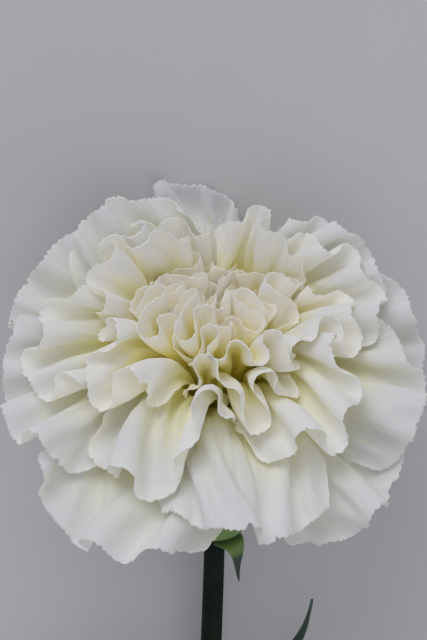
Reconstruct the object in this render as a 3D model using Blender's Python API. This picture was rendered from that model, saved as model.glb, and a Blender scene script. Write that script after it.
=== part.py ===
"""A cut white carnation lying on a flat surface, its ruffled head tilted up off the stem.

The flower head is laid out upright first, in its own frame: +Z runs from the stem up through the
calyx, the origin is at the calyx's foot, and -Y is the side that faces up once the flower lies down.
Seven rows of petals stand inside each other like nested cups. Each petal is a thin sheet that rises
as a narrow claw inside the calyx, then widens and leans out into its limb, and stays in its own
sector of its row, so that no two petals touch. The whole head is then laid on the surface, which
pushes the lowest petals up.
"""

import math

import bmesh
import bpy
import numpy as np

MM = 0.001

# The head, upright, from the calyx's foot.
THROAT = 31 * MM  # height of the calyx's mouth, where claws turn into limbs
CLAW_FOOT = 3.6 * MM  # height at which the claws stand on the receptacle
ROW_STEP = 0.9 * MM  # how much nearer to the axis each row's claws stand
OUTER_CLAW = 7.9 * MM  # the outermost row's claws, from the axis, at the throat
CLAW_TAPER = 0.22  # share of that radius that the claws lose on the way down
CLAW_HALF_WIDTH = 1.9 * MM
LIMB_HALF_WIDTH = 17.5 * MM
OPENING = 0.55  # share of the limb's length over which it fans out to its full width
ROUNDING, ROUNDNESS = 0.22, 2.4  # how much shorter the limb is at its sides, and how suddenly
SIDE_GAP = 0.5 * MM  # half of the gap between neighbours in a row
PETAL_THICKNESS = 0.35 * MM

# Each row of petals, outermost first: where its petals point round the head, in degrees, the limb's
# length past the throat, and the limb's angle above the horizontal where it starts and where it ends.
ROW_POINTS = (
    (14, 98, 151, 243, 320),
    (44, 124, 190, 280, 350),
    (30, 117, 178, 250, 322),
    (64, 145, 212, 285, 358),
    (20, 110, 200, 290),
    (65, 155, 245, 335),
    (75, 195, 315),
)
# How long each petal is, as a share of its row's length.
PETAL_SHARE = (
    (0.94, 1, 0.96, 1.02, 0.95),
    (0.96, 1.01, 0.99, 1.03, 0.98),
    (1, 0.96, 1, 1, 0.96),
    (1.1, 1.06, 1, 0.95, 0.97),
    (0.92, 0.84, 1, 1.05),
    (0.8, 0.95, 1.05, 0.95),
    (0.85, 1.02, 1),
)
# How broad each petal's limb is, as a share of LIMB_HALF_WIDTH.
PETAL_BREADTH = (
    (0.9, 0.52, 0.9, 1.15, 0.95),
    (0.78, 0.68, 1, 0.8, 0.85),
    (0.9, 0.8, 1, 1.05, 1),
    (0.85, 1, 1, 1, 1),
    (1, 1, 1, 1),
    (1, 1, 1, 1),
    (1, 1, 1),
)
ROW_LENGTH = tuple(x * MM for x in (40, 39.5, 36, 32.5, 29, 26, 23.5))
ROW_START = (36, 44, 53, 62, 70, 78, 84)
ROW_END = (-10, 3, 21, 39, 56, 70, 81)
BEND = 9 * MM  # length over which a petal turns from its claw to its limb

# Ruffles: waves round the head, deeper towards the margin, and out of step from row to row.
WAVES = 10
RUFFLE_DEPTH = 1.7 * MM
RUFFLE_STEP = 40  # degrees of the wave from one row to the next
RUFFLE_START = 6 * MM

# The outer petals nod: those facing up droop, and those behind stand up. The heart leans back.
NOD = 24  # degrees
NOD_FRONT = 1.2  # share of it by which the petals facing up droop
NOD_INSIDE = 4 * MM
NOD_OUTSIDE = 36 * MM
HEART_SHIFT = 5 * MM
HEART_RADIUS = 34 * MM
# Smooth rises and falls of the outer petals round the head: how many, how far in degrees, and where
# they peak.
SWINGS = ((2, 3, 90), (3, 2.5, 30), (5, 2.4, 126))

# The head lies on the surface with its axis this far above the horizontal.
LEAN = 18  # degrees
THROAT_PLACE = np.array((0.0, -0.1117, 0.0206))
PRESS_HEIGHT = 10.2 * MM  # the surface pushes up what would hang lower than this
PRESS_KEEP = 0.42  # share of its spacing that the lowest petal keeps
PRESS_REACH = 21 * MM  # how far below that height the lowest petal would hang

CALYX_WALL = 0.5 * MM
CALYX_ROW = -1.25  # where it stands among the rows of petals: outside the first
CALYX_TEETH = 5
CALYX_COLLAR = 1.5 * MM  # how far the cup rises past the throat between its teeth
TOOTH_LENGTH = 6.5 * MM
CALYX_FOOT = ((2.3 * MM, 0.6 * MM), (5.0 * MM, 1.3 * MM), (6.7 * MM, 3.0 * MM))  # radius and height

STEM_RADIUS = 2.0 * MM
STEM_FOOT_RADIUS = 2.5 * MM
JOINT_RADIUS = 3.1 * MM
JOINTS = (0.36, 0.71)  # where the two swollen joints sit, as shares of the stem
JOINT_LENGTH = 0.009  # how far a joint's swelling reaches each way, as a share of the stem
STEM_STRAIGHT = 22 * MM  # how far the stem's pull along the calyx's axis carries on behind it
STEM_BEND = (0.006, 0.060, 0.0070)
STEM_END = (0.002, 0.1505, STEM_FOOT_RADIUS + 0.1 * MM)
PIECE_GAP = 0.3 * MM


def smooth(x):
    """0 below 0, 1 above 1, and a smooth step between."""
    x = np.clip(x, 0.0, 1.0)
    return x * x * (3 - 2 * x)


def clear_scene():
    for item in list(bpy.data.objects):
        bpy.data.objects.remove(item)


def material(name, colour, roughness):
    made = bpy.data.materials.new(name)
    made.use_nodes = True
    shader = made.node_tree.nodes["Principled BSDF"]
    shader.inputs["Base Color"].default_value = (*colour, 1)
    shader.inputs["Roughness"].default_value = roughness
    shader.inputs["Metallic"].default_value = 0
    return made


def add_object(name, mesh, look):
    made = bpy.data.objects.new(name, mesh)
    bpy.context.scene.collection.objects.link(made)
    made.data.materials.append(look)
    if made.type == "MESH":
        made.data.shade_smooth()
    return made


def sheet_mesh(name, grid, wrap=False, close_foot=False):
    """A mesh of the points in grid, rows by columns by 3. wrap joins the last column to the first."""
    rows, columns = grid.shape[:2]
    mesh = bmesh.new()
    points = [[mesh.verts.new(grid[j, i]) for i in range(columns)] for j in range(rows)]
    for j in range(rows - 1):
        for i in range(columns if wrap else columns - 1):
            k = (i + 1) % columns
            mesh.faces.new((points[j][i], points[j][k], points[j + 1][k], points[j + 1][i]))
    if close_foot:
        mesh.faces.new(reversed(points[0]))
    data = bpy.data.meshes.new(name)
    mesh.to_mesh(data)
    mesh.free()
    return data


def thicken(item, thickness):
    solid = item.modifiers.new("thickness", "SOLIDIFY")
    solid.thickness = thickness
    solid.offset = 0
    return solid


# ---------------------------------------------------------------- the head's shape


def by_row(values, row):
    """A row's value from a list, with rows outside the list carried on in a straight line."""
    values = np.asarray(values, float)
    row = np.asarray(row, float)
    inner = np.interp(row, np.arange(len(values)), values)
    return inner + np.minimum(row, 0) * (values[1] - values[0])


def limb_angle(row, reach):
    """How far a petal leans above the horizontal, in radians, at a distance past the throat."""
    start, end = by_row(ROW_START, row), by_row(ROW_END, row)
    length = by_row(ROW_LENGTH, row)
    rising = 90 + (start - 90) * smooth(reach / BEND)
    leaning = start + (end - start) * (reach - BEND) / (length - BEND)
    return np.radians(np.where(reach < BEND, rising, leaning))


def profile(row, reach):
    """(distance from the axis, height, angle) of a petal of that row, at a distance past the throat.

    A negative reach is down the claw.
    """
    steps = 40
    row, reach = np.broadcast_arrays(np.asarray(row, float), np.asarray(reach, float))
    past = np.maximum(reach, 0)
    middles = (np.arange(steps) + 0.5) / steps
    angles = limb_angle(row[..., None], past[..., None] * middles)
    claw = OUTER_CLAW - ROW_STEP * row
    down = np.minimum(reach, 0)
    radius = claw * (1 + CLAW_TAPER * down / (THROAT - CLAW_FOOT))
    radius = radius + past * np.cos(angles).mean(-1)
    height = THROAT + down + past * np.sin(angles).mean(-1)
    return radius, height, limb_angle(row, past)


def nod(points):
    """Tips the outer petals about the throat, towards -Y. The calyx and the claws stay as they are."""
    x, y, z = points[..., 0], points[..., 1], points[..., 2] - THROAT
    radius = np.hypot(x, y)
    beside = smooth((radius - 10 * MM) / (8 * MM))
    above = smooth((z + 3 * MM) / (8 * MM))
    share = 1 - (1 - beside) * (1 - above)
    angle = np.radians(NOD) * smooth((radius - NOD_INSIDE) / (NOD_OUTSIDE - NOD_INSIDE)) * share
    angle = angle * (1 - (1 - NOD_FRONT) * smooth(0.5 - y / (50 * MM)))
    turned_y = y * np.cos(angle) - z * np.sin(angle)
    turned_z = y * np.sin(angle) + z * np.cos(angle)
    heart = smooth(z / (24 * MM)) * smooth(1 - radius / HEART_RADIUS)
    return np.stack([x, turned_y + HEART_SHIFT * heart, turned_z + THROAT], -1)


def lay_down(points):
    """From the upright head's frame to where it lies."""
    lean = math.radians(LEAN)
    right = np.array([-1.0, 0.0, 0.0])
    behind = np.array([0.0, -math.sin(lean), -math.cos(lean)])
    axis = np.array([0.0, -math.cos(lean), math.sin(lean)])
    above = points - np.array([0.0, 0.0, THROAT])
    laid = above[..., :1] * right + above[..., 1:2] * behind + above[..., 2:] * axis
    return laid + THROAT_PLACE


def press(points, share):
    """The surface pushes up the petals that would hang through it, and they stay apart."""
    below = np.clip(PRESS_HEIGHT - points[..., 2], 0, PRESS_REACH)
    lift = share * (1 - PRESS_KEEP) * below**2 / (2 * PRESS_REACH)
    return points + lift[..., None] * np.array([0.0, 0.0, 1.0])


def swing(radius, height, azimuth):
    """Lifts or drops the outer petals about the throat by an angle that wanders round the head."""
    peaks = [size * np.cos(count * (azimuth - math.radians(peak))) for count, size, peak in SWINGS]
    angle = np.radians(sum(peaks)) * smooth((radius - 10 * MM) / (16 * MM))
    above = height - THROAT
    return (
        radius * np.cos(angle) - above * np.sin(angle),
        radius * np.sin(angle) + above * np.cos(angle) + THROAT,
    )


def head_point(row, reach, azimuth, lift=0.0):
    """Where a point of the head lies: lift is how far it stands off its row's surface, outwards."""
    radius, height, angle = profile(row, reach)
    radius = radius + lift * np.sin(angle)
    height = height - lift * np.cos(angle)
    radius, height = swing(radius, height, azimuth)
    return np.stack([radius * np.cos(azimuth), radius * np.sin(azimuth), height], -1)


def laid_point(points):
    """Where a point of the upright head ends up. The calyx and the claws inside it keep their shape."""
    loose = smooth((np.hypot(points[..., 0], points[..., 1]) - 9 * MM) / (9 * MM))
    return press(lay_down(nod(points)), loose)


# ---------------------------------------------------------------- petals

LIMB_ROWS = (0.0, 0.06, 0.13, 0.27, 0.44, 0.62, 0.81, 1.0)  # where the sheet's rows lie along the limb


def row_sectors(row):
    """(middle, half width) in radians of each petal's sector, up to halfway to its nearer neighbour."""
    points = ROW_POINTS[row]
    points = np.radians((points[-1] - 360, *points, points[0] + 360))
    room = np.diff(points) / 2
    return list(zip(points[1:-1], np.minimum(room[1:], room[:-1])))


def petal_grid(row, share, limb, middle, half_sector, columns):
    """The petal's sheet: a claw, then a fan whose margin is rounded and ruffled."""
    across = np.linspace(-1, 1, columns + 1)
    length = share * ROW_LENGTH[row] * (1 - ROUNDING * np.abs(across) ** ROUNDNESS)
    reach = np.array([np.full_like(across, CLAW_FOOT - THROAT)] + [length * part for part in LIMB_ROWS])
    radius, _, _ = profile(row, reach)
    opening = smooth(reach / (OPENING * ROW_LENGTH[row]))
    half_width = CLAW_HALF_WIDTH + (limb - CLAW_HALF_WIDTH) * opening
    half_angle = np.minimum(half_width / radius, half_sector - SIDE_GAP / radius)
    azimuth = middle + half_angle * across
    wave = np.sin(WAVES * azimuth + math.radians(RUFFLE_STEP) * row)
    depth = RUFFLE_DEPTH * smooth((reach - RUFFLE_START) / (ROW_LENGTH[row] - RUFFLE_START))
    return laid_point(head_point(row, reach, azimuth, depth * wave))


def add_petals(look):
    for row in range(len(ROW_POINTS)):
        columns = 8 if row < 4 else 6
        for i, (middle, half_sector) in enumerate(row_sectors(row)):
            name = f"petal_row{row + 1}_{i + 1}"
            limb = LIMB_HALF_WIDTH * PETAL_BREADTH[row][i]
            grid = petal_grid(row, PETAL_SHARE[row][i], limb, middle, half_sector, columns)
            thicken(add_object(name, sheet_mesh(name, grid), look), PETAL_THICKNESS)


# ---------------------------------------------------------------- calyx, bracts, receptacle, pistil


def add_calyx(look):
    """A cup round the claws, just outside the outermost row, that ends in pointed teeth."""
    columns = 40
    azimuth = np.arange(columns) * 2 * np.pi / columns
    rings = [
        np.stack([r * np.cos(azimuth), r * np.sin(azimuth), np.full(columns, z)], -1)
        for r, z in CALYX_FOOT
    ]
    tooth = np.abs((azimuth * CALYX_TEETH / (2 * np.pi)) % 1 - 0.5) * 2
    for reach in (-16 * MM, -8 * MM, 0.0):
        rings.append(head_point(CALYX_ROW, np.full(columns, reach), azimuth))
    for share in (0.33, 0.67, 1.0):
        rings.append(head_point(CALYX_ROW, (CALYX_COLLAR + TOOTH_LENGTH * tooth**1.3) * share, azimuth))
    grid = laid_point(np.array(rings))
    thicken(add_object("calyx", sheet_mesh("calyx", grid, wrap=True, close_foot=True), look), CALYX_WALL)


# Each bract: where it points, its half width, how sharply it tapers, the half width of its drawn-out
# tip, and the line of its middle from foot to tip, in mm from the axis and in height. Three hug the
# calyx, and the last has sprung away with its tip hanging.
HUGGING = ((2.6, -0.35), (5.6, 0.35), (7.7, 2.6), (8.4, 7.5), (9.0, 11.0))
SPRUNG = ((2.6, -0.35), (5.4, 0.0), (7.4, 0.9), (8.3, -1.6), (8.0, -5.0), (8.6, -8.0))
BRACT_THICKNESS = 0.4 * MM
BRACTS = (
    (200, 5.0 * MM, 0.8, 0, HUGGING),
    (20, 5.0 * MM, 0.8, 0, HUGGING),
    (110, 4.6 * MM, 0.8, 0, HUGGING),
    (303, 3.2 * MM, 3.0, 0.45 * MM, SPRUNG),
)


def bract_grid(middle, half_width, taper, tail, line):
    """A pointed scale that starts under the calyx and curves round it."""
    shares = np.linspace(0, 1, 8)[:, None]
    across = np.linspace(-1, 1, 5)[None, :]
    stops = np.linspace(0, 1, len(line))
    radius = np.interp(shares, stops, [point[0] * MM for point in line])
    height = np.interp(shares, stops, [point[1] * MM for point in line]) + 0 * across
    width = half_width * (1 - shares**1.8) ** taper + tail * (1 - shares**6) + 0.15 * MM
    azimuth = math.radians(middle) + np.minimum(width / radius, 0.6) * across
    return np.stack([radius * np.cos(azimuth), radius * np.sin(azimuth), height], -1)


def add_bracts(look):
    for i, bract in enumerate(BRACTS):
        name = f"bract_{i + 1}"
        grid = lay_down(bract_grid(*bract))
        thicken(add_object(name, sheet_mesh(name, grid), look), BRACT_THICKNESS)


def turned(name, outline, look, segments):
    """A solid of revolution about the head's axis, from (radius, height) pairs, with flat ends."""
    azimuth = np.arange(segments) * 2 * np.pi / segments
    mesh = bmesh.new()
    rings = []
    for radius, height in outline:
        place = np.stack(
            [radius * np.cos(azimuth), radius * np.sin(azimuth), np.full(segments, height)], -1
        )
        rings.append([mesh.verts.new(p) for p in lay_down(place)])
    for low, high in zip(rings, rings[1:]):
        for i in range(segments):
            k = (i + 1) % segments
            mesh.faces.new((low[i], low[k], high[k], high[i]))
    mesh.faces.new(reversed(rings[0]))
    mesh.faces.new(rings[-1])
    data = bpy.data.meshes.new(name)
    mesh.to_mesh(data)
    mesh.free()
    return add_object(name, data, look)


def add_receptacle(look):
    """The stem's widened end inside the calyx, on which the claws and the pistil stand."""
    top = CLAW_FOOT - PIECE_GAP
    outline = (
        (4.2 * MM, 2.0 * MM),
        (5.6 * MM, 2.6 * MM),
        (5.8 * MM, top - 0.2 * MM),
        (5.4 * MM, top),
    )
    turned("receptacle", outline, look, 24)


def add_pistil(look):
    """The seed vessel in the middle of the head, drawn out into its style."""
    outline = (
        (0.9 * MM, CLAW_FOOT),
        (1.5 * MM, 6 * MM),
        (1.6 * MM, 10 * MM),
        (1.1 * MM, 14 * MM),
        (0.5 * MM, 17 * MM),
        (0.45 * MM, 30 * MM),
        (0.4 * MM, 42 * MM),
    )
    turned("pistil", outline, look, 12)


# ---------------------------------------------------------------- stem and leaves


def bezier(points, share):
    """A cubic curve's points at a share, or at an array of shares, of the way along it."""
    a, b, c, d = (np.array(point, float) for point in points)
    t = np.asarray(share, float)[..., None]
    return a * (1 - t) ** 3 + b * 3 * t * (1 - t) ** 2 + c * 3 * t * t * (1 - t) + d * t**3


def stem_line(share):
    """The stem's middle line, from the calyx's foot (0) to the cut end (1).

    It comes down off the head and then lies along the surface.
    """
    top = lay_down(np.array([0.0, 0.0, 0.0]))
    behind = lay_down(np.array([0.0, 0.0, -STEM_STRAIGHT]))
    return bezier((top, behind, STEM_BEND, STEM_END), share)


def stem_radius(share):
    radius = STEM_RADIUS + (STEM_FOOT_RADIUS - STEM_RADIUS) * share
    for joint in JOINTS:
        swell = math.exp(-(((share - joint) / JOINT_LENGTH) ** 2))
        radius += (JOINT_RADIUS - radius) * swell
    return radius


def add_stem(look):
    """One round stem, swollen at its joints, that starts just under the calyx."""
    even = {i / 22 for i in range(23)}
    near_joints = {joint + step for joint in JOINTS for step in (-0.02, -0.01, 0, 0.01, 0.02)}
    shares = sorted(even | near_joints)
    curve = bpy.data.curves.new("stem", "CURVE")
    curve.dimensions = "3D"
    curve.bevel_depth = 1.0
    curve.bevel_resolution = 4
    curve.use_fill_caps = True
    line = curve.splines.new("POLY")
    line.points.add(len(shares) - 1)
    for point, share in zip(line.points, shares):
        point.co = (*stem_line(share), 1)
        point.radius = stem_radius(share)
    add_object("stem", curve, look)


# Each leaf: the joint it grows from, the way it leaves the stem in degrees round it (0 is +X and
# 90 is up), its half width, then its bends from the joint, as offsets in metres.
LEAF_THICKNESS = 0.5 * MM
LEAF_TIP = 0.2 * MM  # half width of the blunt tip
CHANNEL, CLASP = 20, 72  # degrees by which the blade curves to each side, along it and at its foot
CLASP_GAP = 0.55 * MM
LEAVES = (
    (0, 205, 2.2 * MM, ((-0.004, -0.014, -0.001), (-0.0195, -0.018, -0.001), (-0.0212, -0.038, 0.002))),
    (0, 25, 2.6 * MM, ((0.004, -0.022, 0.002), (0.030, -0.018, 0.014), (0.0487, -0.010, 0.002))),
    (1, 122, 2.9 * MM, ((-0.004, -0.026, 0.006), (-0.024, -0.040, 0.020), (-0.0535, -0.036, 0.010))),
    (1, 302, 2.9 * MM, ((0.004, -0.030, 0.0012), (0.022, -0.050, -0.0005), (0.044, -0.060, 0.0006))),
)


def leaf_grid(joint, direction, half_width, bends):
    """A narrow channelled blade whose foot clasps the stem's joint."""
    share = JOINTS[joint]
    centre = stem_line(share)
    along = stem_line(share - 0.01) - centre
    along /= np.linalg.norm(along)
    side = np.cross(along, [0.0, 0.0, 1.0])
    side /= np.linalg.norm(side)
    if side[0] < 0:
        side = -side
    up = np.cross(side, along)
    if up[2] < 0:
        up = -up
    out = math.cos(math.radians(direction)) * side + math.sin(math.radians(direction)) * up
    clasp = JOINT_RADIUS + CLASP_GAP
    foot = centre + clasp * out
    shares = np.linspace(0, 1, 13)
    middle = bezier([foot, *(centre + np.array(bend) for bend in bends)], shares)
    run = np.gradient(middle, axis=0)
    run /= np.linalg.norm(run, axis=1, keepdims=True)
    outward = out - (run @ out)[:, None] * run
    outward /= np.linalg.norm(outward, axis=1, keepdims=True)
    across = np.cross(run, outward)
    width = half_width * (1 - shares**3.2) + LEAF_TIP
    clasping = np.exp(-shares * 22)
    bend = np.radians(CHANNEL + (CLASP - CHANNEL) * clasping)
    width = width * (1 - clasping) + clasp * bend * clasping
    columns = np.linspace(-1, 1, 5)
    curve = width / bend
    angle = columns[None, :] * bend[:, None]
    sideways = (curve[:, None] * np.sin(angle))[..., None] * across[:, None, :]
    inwards = (curve[:, None] * (np.cos(angle) - 1))[..., None] * outward[:, None, :]
    return middle[:, None, :] + sideways + inwards


def add_leaves(look):
    for i, (joint, direction, half_width, bends) in enumerate(LEAVES):
        name = f"leaf_{i + 1}"
        grid = leaf_grid(joint, direction, half_width, bends)
        thicken(add_object(name, sheet_mesh(name, grid), look), LEAF_THICKNESS)


def main():
    clear_scene()
    petal = material("petal", (0.86, 0.86, 0.78), 0.55)
    calyx = material("calyx", (0.24, 0.36, 0.13), 0.5)
    leaf = material("leaf", (0.09, 0.14, 0.11), 0.55)
    stem = material("stem", (0.05, 0.09, 0.07), 0.5)
    heart = material("heart", (0.62, 0.66, 0.36), 0.5)
    add_petals(petal)
    add_calyx(calyx)
    add_bracts(calyx)
    add_receptacle(heart)
    add_pistil(heart)
    add_stem(stem)
    add_leaves(leaf)


main()
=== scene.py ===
"""The looks of a cut white carnation that lies on a plain surface.

Each petal starts as the smooth sheet of the CAD model. It then grows wider than the room it has,
most of all along its margin, while it keeps clear of its neighbours, of itself and of the surface,
and so it ruffles as a real one does. The grown sheets are refined, toothed and given a thickness.
"""

import math

import bpy
import numpy as np
from mathutils import Matrix, Vector


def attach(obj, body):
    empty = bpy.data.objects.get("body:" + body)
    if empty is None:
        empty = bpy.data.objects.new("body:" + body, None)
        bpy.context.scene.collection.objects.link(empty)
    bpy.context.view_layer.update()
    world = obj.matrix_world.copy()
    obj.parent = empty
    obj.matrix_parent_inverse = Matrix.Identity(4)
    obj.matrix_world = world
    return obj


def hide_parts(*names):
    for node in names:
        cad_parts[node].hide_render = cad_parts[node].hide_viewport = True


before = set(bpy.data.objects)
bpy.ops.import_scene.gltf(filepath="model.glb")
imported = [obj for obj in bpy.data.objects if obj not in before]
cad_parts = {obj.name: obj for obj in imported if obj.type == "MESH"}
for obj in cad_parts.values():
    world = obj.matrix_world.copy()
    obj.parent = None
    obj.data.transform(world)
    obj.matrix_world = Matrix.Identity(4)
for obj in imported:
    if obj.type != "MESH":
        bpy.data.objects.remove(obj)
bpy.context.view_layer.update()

MM = 0.001
rng = np.random.default_rng(11)

# The head, upright, as in the CAD model: +Z runs up the calyx, and -Y is the side that ends up on top.
THROAT = 31 * MM  # height of the calyx's mouth, where claws turn into limbs
CLAW_FOOT = 3.6 * MM  # height at which the claws stand on the receptacle
ROW_STEP = 0.9 * MM  # how much nearer to the axis each row's claws stand
OUTER_CLAW = 7.9 * MM  # the outermost row's claws, from the axis, at the throat
CLAW_TAPER = 0.22  # share of that radius that the claws lose on the way down
CLAW_HALF_WIDTH = 1.9 * MM
LIMB_HALF_WIDTH = 17.5 * MM
OPENING = 0.55  # share of the limb's length over which it fans out to its full width
ROUNDING, ROUNDNESS = 0.22, 2.4  # how much shorter the limb is at its sides, and how suddenly
SIDE_GAP = 0.5 * MM  # half of the gap between neighbours in a row

# Each row of petals, outermost first: where its petals point round the head, in degrees.
ROW_POINTS = (
    (14, 98, 151, 243, 320),
    (44, 124, 190, 280, 350),
    (30, 117, 178, 250, 322),
    (64, 145, 212, 285, 358),
    (20, 110, 200, 290),
    (65, 155, 245, 335),
    (75, 195, 315),
)
# How long each petal is, as a share of its row's length.
PETAL_SHARE = (
    (0.94, 1, 0.96, 1.02, 0.95),
    (0.96, 1.01, 0.99, 1.03, 0.98),
    (1, 0.96, 1, 1, 0.96),
    (1.1, 1.06, 1, 0.95, 0.97),
    (0.92, 0.84, 1, 1.05),
    (0.8, 0.95, 1.05, 0.95),
    (0.85, 1.02, 1),
)
# How broad each petal's limb is, as a share of LIMB_HALF_WIDTH.
PETAL_BREADTH = (
    (0.9, 0.52, 0.9, 1.15, 0.95),
    (0.78, 0.68, 1, 0.8, 0.85),
    (0.9, 0.8, 1, 1.05, 1),
    (0.85, 1, 1, 1, 1),
    (1, 1, 1, 1),
    (1, 1, 1, 1),
    (1, 1, 1),
)
# Each row's limb: its length past the throat, and its angle above the horizontal at both ends.
ROW_LENGTH = tuple(x * MM for x in (40, 39.5, 36, 32.5, 29, 26, 23.5))
ROW_START = (36, 44, 53, 62, 70, 78, 84)
ROW_END = (-10, 3, 21, 39, 56, 70, 81)
BEND = 9 * MM  # length over which a petal turns from its claw to its limb
PROFILE_STEPS = 40

# Ruffles of the CAD model: waves round the head, deeper towards the margin.
WAVES = 10
RUFFLE_DEPTH = 1.7 * MM
RUFFLE_STEP = 40  # degrees of the wave from one row to the next
RUFFLE_START = 6 * MM

# The outer petals nod: those facing up droop, and those behind stand up. The heart leans back.
NOD = 24  # degrees
NOD_FRONT = 1.2  # share of it by which the petals facing up droop
NOD_INSIDE = 4 * MM
NOD_OUTSIDE = 36 * MM
NOD_TURN = 50 * MM  # length over which that share sets in
HEART_SHIFT = 5 * MM
HEART_RADIUS = 34 * MM
HEART_HEIGHT = 24 * MM
# Rises and falls of the outer petals round the head: how many, how far and where, in degrees.
SWINGS = ((2, 3, 90), (3, 2.5, 30), (5, 2.4, 126))
# Where these bends set in: a distance from the axis or a height past the throat, and over how much.
NOD_BESIDE = (10 * MM, 8 * MM)
NOD_ABOVE = (-3 * MM, 8 * MM)
SWING_BESIDE = (10 * MM, 16 * MM)
PRESS_BESIDE = (9 * MM, 9 * MM)

# The head lies on the surface with its axis this far above the horizontal.
LEAN = 18  # degrees
HEAD_AXIS = np.array([0.0, -math.cos(math.radians(LEAN)), math.sin(math.radians(LEAN))])
HEAD_RIGHT = np.array([-1.0, 0.0, 0.0])
HEAD_BEHIND = np.array([0.0, -math.sin(math.radians(LEAN)), -math.cos(math.radians(LEAN))])
UP = np.array([0.0, 0.0, 1.0])
THROAT_PLACE = np.array((0.0, -0.1117, 0.0206))
PRESS_HEIGHT = 10.2 * MM  # the surface pushes up what would hang lower than this
PRESS_KEEP = 0.42  # share of its spacing that the lowest petal keeps
PRESS_REACH = 21 * MM  # how far below that height the lowest petal would hang

# How the petals grow. Lengths from here to the petals' finish are in millimetres unless they say MM.
NV, NU = 23, 41  # points along and across each petal
FAN_HALF_WIDTH = tuple(x * MM for x in (19.5, 19.5, 19.5, 18.5, 17, 15.5, 13.5))  # of a flat petal
FAN_REACH, FAN_CURVE = 0.85, 0.8  # share of its length at which it is that wide, and how it gets there
MARGIN_GROWTH = (1.15, 1.1, 1.1, 1.0, 0.9, 1.0, 1.0)  # how much wider each row's margins grow than that
MARGIN_RISE = (0.55, 0.45)  # share of the length where that growth starts, and over how much
SOFTNESS = (2.2, 2.2, 2.3, 2.3, 2.3, 2.4, 2.4)  # how tightly each row's petals fold
UNEVEN_WAVES = 5  # waves that make each petal buckle its own way
UNEVEN_SIZE, UNEVEN_SIZE_STEP = 0.25, 0.05  # their size in the outer row, and how it rises per row
UNEVEN_LENGTH = 8 * MM
TILT, TWIST = 5, 9  # how unevenly the petals lean and turn, in degrees
TWISTS = {"petal_row2_5": 30}  # petals with a twist of their own
GROW_STEPS = 240
REST_STEPS = 90
STRETCH_GIVE, SHEAR_GIVE, BEND_GIVE = 0.7, 0.25, 0.5  # share of a length's error undone at each step
BEND_ACROSS = ((2, 0.96), (4, 0.86), (8, 0.68))  # points apart, and the least share of their distance
BEND_ALONG = ((2, 0.975), (4, 0.92))
CARRY, LONGEST_MOVE = 0.82, 0.3  # share of the last step's movement that carries on, and its most
MEMORY_FOOT = 0.02  # pull towards the petal's aim, at its foot and at its tip
MEMORY_TIP = 0.0025
CLEARANCE = 1.5  # between the middles of the outer row's petals
CLEARANCE_STEP = 0.06  # how much less of it the petals keep per row
CLAW_CLEARANCE, CLEARANCE_RISE = 0.55, 0.09  # what they keep at the throat, and how it rises outwards
RIM_POINTS, RIM_CLEARANCE = 60, 0.9  # the calyx's rim
FLOOR_GAP = 0.35
PAIR_STEPS, PAIR_MARGIN = 6, 0.5  # how often near points are looked for, and how much further off
OWN_SPACING = 5  # points of one petal this near to each other in its grid aren't kept apart
CROWDING = 0.6  # share of its touching points that a point's push is divided by

# The petals' finish.
FINE_ROWS = 44
TOOTH_ROWS = 16  # how many of them are in the toothed margin
TOOTH_ZONE, TOOTH_ZONE_DEPTH = 0.82, 0.18  # where that margin starts and its depth, as shares
COLUMN_PITCH = 0.42  # mm along the margin
COLUMN_LIMITS = (56, 150)
TOOTH_PITCH, PITCH_RANGE = 1.35, (0.4, 1.5)  # mm, and the least and most share of it
TOOTH_DEPTH = 0.45  # mm
TIP_RANGE, NOTCH_RANGE = (0, 0.35), (0.6, 1.6)  # how deep tips and notches are, as shares of it
TIP_PLACES = (0.3, 0.7)  # where a tip stands between its two notches
DEEP_TEETH, DEEP_TOOTH = 0.06, 2.2  # share of the notches that are deeper, and how much
CORNER_CUT = 0.10  # how far the margin is cut back at the petal's two corners, as a share
CORNER_RISE, CORNER_CURVE = (0.78, 0.22), 1.5
PLEATS = ((13, 0.05), (21, 0.035), (34, 0.02))  # fine ribs: how many, and their height in mm
PLEAT_RISE = (0.1, 0.5)  # where they start, as a share of the petal, and over how much
PLEAT_BEND, PLEAT_BENDS = 0.8, 5  # how far and how often they waver on their way out
PETAL_THICKNESS = 0.26 * MM
MARGIN_THICKNESS = 0.12 * MM
THINNING_RISE = (0.5, 0.5)
CREAM_STEP = 0.06  # how much further the cream reaches from one row to the next, as a share
CREAM_EDGE = (0.72, 0.22)  # where that ends, as a share of the petal, and over how much
CLAW_REACHES = (-27.4, -18, -9, -4, -1.6)  # mm past the throat

# The calyx and its bracts.
CALYX_ROW = -1.25  # where it stands among the rows of petals: outside the first
CALYX_TEETH = 5
CALYX_COLLAR = 1.5 * MM  # how far the cup rises past the throat between its teeth
TOOTH_LENGTH, TOOTH_CURVE = 6.5 * MM, 1.3
CALYX_WALL = 0.5 * MM
CALYX_COLUMNS = 200
CALYX_TOOTH_RINGS = 8
CALYX_RIBS, CALYX_RIB_HEIGHT = 25, 0.07 * MM
CALYX_RIB_RISE = (2 * MM, 6 * MM)
# Radius and height of the cup's foot.
CALYX_FOOT = (
    (2.3 * MM, 0.6 * MM),
    (3.6 * MM, 0.75 * MM),
    (5.0 * MM, 1.3 * MM),
    (6.1 * MM, 2.1 * MM),
    (6.7 * MM, 3.0 * MM),
)
# A bract's line: radius and height, in mm. Three hug the calyx, and the fourth has sprung away.
HUGGING = ((2.6, -0.35), (5.6, 0.35), (7.7, 2.6), (8.4, 7.5), (9.0, 11.0))
SPRUNG = ((2.6, -0.35), (5.4, 0.0), (7.4, 0.9), (8.3, -1.6), (8.0, -5.0), (8.6, -8.0))
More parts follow.
